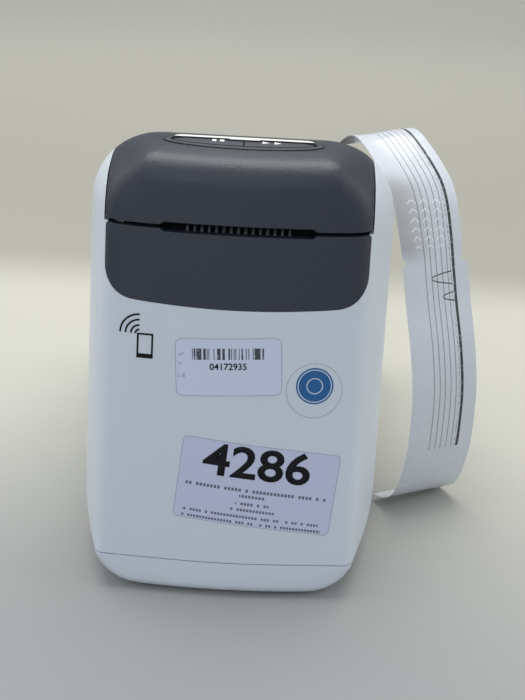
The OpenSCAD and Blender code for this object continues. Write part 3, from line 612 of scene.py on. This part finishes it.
def round_sticker():
    """A round blue sticker with two plain pale rings, on a wider round of film."""
    film_x, film_z, film_radius, rim = 0.0320, 0.0863, 0.0106, 0.00025
    x, z, radius, line = 0.0321, 0.0882, 0.0072, 0.0004
    # a hair of grey round the film, a painted shadow of its edge
    on_face(ring(film_x, film_z, 0, film_radius + rim), "sticker_film_shadow", LABEL_SHADOW, 0.00008, 0.00008)
    on_face(ring(film_x, film_z, 0, film_radius), "sticker_film", STICKER_FILM, 0.00014, 0.00014)
    on_face(ring(x, z, 0, radius), "sticker_disc", BLUE_INK, 0.00022, 0.0001)
    for name, outer in (("sticker_rim", 0.0066), ("sticker_ring", 0.0032)):
        on_face(ring(x, z, outer - line, outer), name, PALE_INK, 0.00028, 0.00008)


round_sticker()

# ---- Marks on the two buttons ----
PAUSE_CAP = surface("pause_button")
FEED_CAP = surface("feed_button")


def on_button(bm, name, cap, body, finish):
    """Drops a flat piece, drawn in the XY plane, on the cap of a button."""
    lift, thick = 0.00012, 0.0001
    for v in bm.verts:
        point, normal, _, _ = cap.ray_cast(Vector((v.co.x, v.co.y, WELL_ABOVE)), DOWNWARD)
        v.co = point + normal * lift
    thickened(bm, thick, UPWARD)
    rider(bm, name, finish, body)


def button_marks():
    """Two upright bars on the pause key and two arrow heads on the feed key, at their rear edge."""
    bar_wide, bar_long, bars_y = 0.0016, 0.0028, -0.0732
    arrow_radius, arrows_y = 0.0019, -0.0734
    for k, x in enumerate((-0.01145, -0.00845)):
        bm = bmesh.new()
        bmesh.ops.create_grid(bm, x_segments=1, y_segments=4, size=0.5)
        bmesh.ops.scale(bm, vec=(bar_wide, bar_long, 1), verts=bm.verts)
        bmesh.ops.translate(bm, vec=(x, bars_y, 0), verts=bm.verts)
        on_button(bm, "pause_bar_%d" % k, PAUSE_CAP, "pause_key", WHITE_INK)
    for k, x in enumerate((0.0080, 0.0126)):
        bm = bmesh.new()
        bmesh.ops.create_circle(bm, cap_ends=True, segments=3, radius=arrow_radius)
        turn = Matrix.Rotation(-math.pi / 2, 3, "Z")
        bmesh.ops.rotate(bm, cent=ORIGIN, matrix=turn, verts=bm.verts)
        bmesh.ops.translate(bm, vec=(x, arrows_y, 0), verts=bm.verts)
        on_button(bm, "feed_arrow_%d" % k, FEED_CAP, "feed_key", WHITE_INK)


def cap_rims():
    """A dark strip along the rounded front edge of each button, half of one oval each: painted shade of the
    gap in front of the button.
    """
    half_wide, half_deep, oval_y, rim = 0.02795, 0.00588, -0.0741, 0.0009
    front_only, gap = 0.0022, 0.0003
    for side, cap, body in ((-1, PAUSE_CAP, "pause_key"), (1, FEED_CAP, "feed_key")):
        bm = bmesh.new()
        bmesh.ops.create_circle(bm, cap_ends=True, segments=128, radius=1)
        bmesh.ops.scale(bm, vec=(half_wide, half_deep, 1), verts=bm.verts)
        middle = bm.faces[:]
        bmesh.ops.inset_region(bm, faces=middle, thickness=rim, use_boundary=True, use_even_offset=True)
        bmesh.ops.delete(bm, geom=middle, context="FACES")
        for place, away in (((0, front_only, 0), (0, 1, 0)), ((side * gap, 0, 0), (-side, 0, 0))):
            bmesh.ops.bisect_plane(bm, geom=everything(bm), dist=WELD_DRAWN, plane_co=place,
                                   plane_no=away, clear_outer=True)
        bmesh.ops.translate(bm, vec=(0, oval_y, 0), verts=bm.verts)
        on_button(bm, "cap_rim_%s" % body, cap, body, CAP_SHADE)


button_marks()
cap_rims()

# ---- Printed wristband ----
# The band's own directions: across its width, along the plane that its loop lies in, and up.
BAND_ACROSS = Vector((0.84066, 0.53783, -0.06354))
BAND_ALONG = Vector((-0.53890, 0.84240, 0.0))
BAND_UP = Vector((0.05352, 0.03424, 0.99798))
BAND_NEAR = 0.0356      # its near edge, along BAND_ACROSS
BAND_WIDE = 0.0354
BAND_HEART = BAND_ALONG * -0.030 + BAND_UP * 0.080      # inside its bend, seen along BAND_ACROSS
BAND_THICK = 0.00025


def band_finish():
    """Glossy white film with ruled lines along it, one heavy, and two narrow printed peaks."""
    f = Finish("printed_band", Coat_Weight=0.3, Coat_Roughness=0.12)
    x, y, z = f.axes()
    # across runs from 0 at the near edge to 1 at the far edge, and up is the height along BAND_UP
    across = x * BAND_ACROSS.x + y * BAND_ACROSS.y + z * BAND_ACROSS.z
    across = (across - BAND_NEAR) / BAND_WIDE
    up = x * BAND_UP.x + y * BAND_UP.y + z * BAND_UP.z
    cockle = f.noise(45, 2)
    grain = f.noise(900, 3)

    lines_end, pen = 0.034, 0.00026
    ruled = sum(abs(across - place) < 0.0065 for place in (0.334, 0.423, 0.505, 0.593, 0.675))
    dotted = (abs(across - 0.726) < 0.006) * (grain > 0.5)
    heavy = (abs(across - 0.771) < 0.021) * ((f.noise(600, 2) > 0.36) * 0.35 + 0.63)
    lines = (ruled * 0.62 + dotted * 0.6 + heavy) * (up > lines_end)

    peaks = 0
    for tip, base, height, half_height in ((0.42, 0.735, 0.1069, 0.0026), (0.57, 0.745, 0.0992, 0.0018)):
        run = (across - tip) / (base - tip)
        outline = abs(abs(up - height) - abs(run).math("SQRT") * half_height) < pen
        peaks = peaks + outline * (across > tip) * (across < base)

    # chevron cuts that spoil the band if it is peeled open: columns of rows a pitch apart, which
    # rise or fall from the middle of a column to its sides; the cuts are painted pale, a painted
    # highlight along their edges
    columns, pitch, rise, depth = 5.7, 0.0036, 0.0044, 0.8
    cuts_across, cuts_up = 0.44, 0.129
    side = abs((across * columns).fraction() - 0.5)
    rows = ((up + side * rise) / pitch).fraction()
    region = (abs(across - cuts_across) < 0.29) * (abs(up - cuts_up) < 0.0095)
    cuts = (abs(rows - 0.5) < 0.075) * (side < 0.36) * region * depth

    paper = f.mix(cockle, (0.62, 0.66, 0.72, 1), (0.67, 0.71, 0.77, 1))
    # a grey patch towards the near edge, about as high as the cuts, is painted shade
    painted_shade = f.fade(across, 0.62, 0.05, 0.6) * f.fade(abs(up - 0.131), 0.020, 0.010)
    paper = f.mix(painted_shade, paper, (0.20, 0.20, 0.18, 1))
    # the pale cut marks are a painted highlight
    paper = f.mix(cuts, paper, (0.90, 0.90, 0.90, 1))
    printed = (lines * (1 - cuts) + peaks * 0.9).capped()
    f.set("Base Color", f.mix(printed, paper, (0.015, 0.015, 0.02, 1)))
    f.roughen(grain, 0.24, 0.32)
    f.bump(cockle, 0.0002)
    return f.material


def softly(value, low, high):
    """Runs softly from 0 at low to 1 at high."""
    part = min(1, max(0, (value - low) / (high - low)))
    return part * part * (3 - 2 * part)


def make_band():
    """The band's outer side alone, eased along its bend, lifted at its far edge and made thick again."""
    most_lift, most_ease, cell = 0.0024, 0.0004, 0.002
    lift_starts, lift_full = 0.112, 0.140       # heights along BAND_UP
    bm = solid_mesh("wristband")
    others = []     # the inner side and the narrow edges
    for face in bm.faces:
        out = face.calc_center_median() - BAND_HEART
        out -= BAND_ACROSS * out.dot(BAND_ACROSS)
        if face.normal.dot(out) < 0 or abs(face.normal.dot(BAND_ACROSS)) > 0.5:
            others.append(face)
    bmesh.ops.delete(bm, geom=others, context="FACES")
    bmesh.ops.dissolve_limit(bm, angle_limit=math.radians(0.1), verts=bm.verts, edges=bm.edges)
    lattice(bm, (cell, 0, cell))
    bm.normal_update()
    before = [(v.co.copy(), v.normal.copy()) for v in bm.verts]
    eased_skin(bm, bm.verts, 24)
    for v, (place, normal) in zip(bm.verts, before):
        across = (place.dot(BAND_ACROSS) - BAND_NEAR) / BAND_WIDE
        lift = most_lift * softly(across, 0.1, 1.0) * softly(place.dot(BAND_UP), lift_starts, lift_full)
        ease = max(-most_ease, min(most_ease, normal.dot(v.co - place)))
        v.co = place + normal * (ease + lift)
    bmesh.ops.triangulate(bm, faces=bm.faces[:])
    bmesh.ops.solidify(bm, geom=bm.faces[:], thickness=BAND_THICK)
    bmesh.ops.recalc_face_normals(bm, faces=bm.faces[:])
    smooth_shaded(bm, 50)
    for face in bm.faces:       # the inner side is plain film
        face.material_index = int(face.normal.dot(face.calc_center_median() - BAND_HEART) < 0)
    band = rider(bm, "wristband_skin", band_finish(), "hood")
    band.data.materials.append(FILM)
    band.modifiers.new("normals", "WEIGHTED_NORMAL").keep_sharp = True
    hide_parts("wristband")


make_band()


# ---- Floor and light ----
def floor_finish():
    """Pale table top: cool and darker in front of the machine, a painted shadow, warm beside it, and darker
    close behind it.
    """
    f = Finish("floor", Roughness=0.7)
    x, y, _ = f.axes()
    # the cool tone, darker than the floor further out in front, is a painted shadow of the machine
    cool = f.drift(3, 3, (0.31, 0.32, 0.325), (0.34, 0.35, 0.355))
    cool = f.mix(f.fade(y, -0.3, -0.9), cool, (0.50, 0.505, 0.50, 1))
    warm = f.drift(3, 3, (0.54, 0.535, 0.475), (0.58, 0.575, 0.51))
    behind = f.drift(3, 3, (0.35, 0.345, 0.30), (0.38, 0.375, 0.33))
    behind = f.mix(f.fade(y, 0.35, 1.1), behind, (0.52, 0.515, 0.46, 1))
    near = f.mix(f.fade(y + x * 0.2, -0.22, 0.10), cool, warm)
    f.set("Base Color", f.mix(f.fade(y, 0.20, 0.29), near, behind))
    return f.material


def stage_floor():
    """A pale floor that rises into a backdrop behind the machine."""
    half_side, floor_end, corner_radius = 3, 1.8, 0.7
    backdrop_height, backdrop_lean = 3, 0.6
    bm = bmesh.new()
    bmesh.ops.create_grid(bm, x_segments=1, y_segments=1, size=half_side)
    back = [e for e in bm.edges if all(v.co.y > half_side - 0.1 for v in e.verts)]
    bmesh.ops.translate(bm, vec=(0, floor_end - half_side, 0), verts=[v for e in back for v in e.verts])
    grown = bmesh.ops.extrude_edge_only(bm, edges=back)["geom"]
    top = [part for part in grown if isinstance(part, bmesh.types.BMVert)]
    bmesh.ops.translate(bm, vec=(0, backdrop_lean, backdrop_height), verts=top)
    corner = [e for e in bm.edges if len(e.link_faces) == 2]
    bmesh.ops.bevel(bm, geom=corner, offset=corner_radius, offset_type="OFFSET", segments=16, profile=0.5,
                    affect="EDGES", material=-1)
    for face in bm.faces:
        face.smooth = True
    mesh = bpy.data.meshes.new("floor")
    bm.to_mesh(mesh)
    bm.free()
    mesh.materials.append(floor_finish())
    floor = bpy.data.objects.new("floor", mesh)
    bpy.context.scene.collection.objects.link(floor)


def lamp(name, width, height, power, place, target_height, colour):
    """A soft rectangular lamp that looks at a point above the origin."""
    data = bpy.data.lights.new(name, "AREA")
    data.shape = "RECTANGLE"
    data.size = width
    data.size_y = height
    data.energy = power
    data.color = colour
    light = bpy.data.objects.new(name, data)
    light.location = place
    beam = Vector((0, 0, target_height)) - Vector(place)
    light.rotation_euler = beam.to_track_quat("-Z", "Y").to_euler()
    bpy.context.scene.collection.objects.link(light)


def stage_light():
    """A pale room, a lamp above and behind, a window at each side and a weak cool fill in front."""
    daylight, sky = (1.0, 0.97, 0.92), (0.88, 0.94, 1.0)
    world = bpy.data.worlds.new("room")
    world.use_nodes = True
    background = world.node_tree.nodes["Background"]
    background.inputs["Color"].default_value = (0.80, 0.84, 0.90, 1)
    background.inputs["Strength"].default_value = 0.58
    bpy.context.scene.world = world
    lamp("overhead", 1.2, 0.9, 14.5, (-0.05, 0.35, 1.25), 0.15, (1.0, 0.98, 0.94))
    lamp("window", 0.9, 0.9, 2.6, (1.2, 0.1, 0.7), 0.1, daylight)
    lamp("left_window", 0.9, 0.9, 3.0, (-1.2, 0.3, 0.8), 0.1, daylight)
    lamp("fill", 0.9, 0.7, 2.5, (-0.4, -1.2, 0.8), 0.1, sky)


stage_floor()
stage_light()
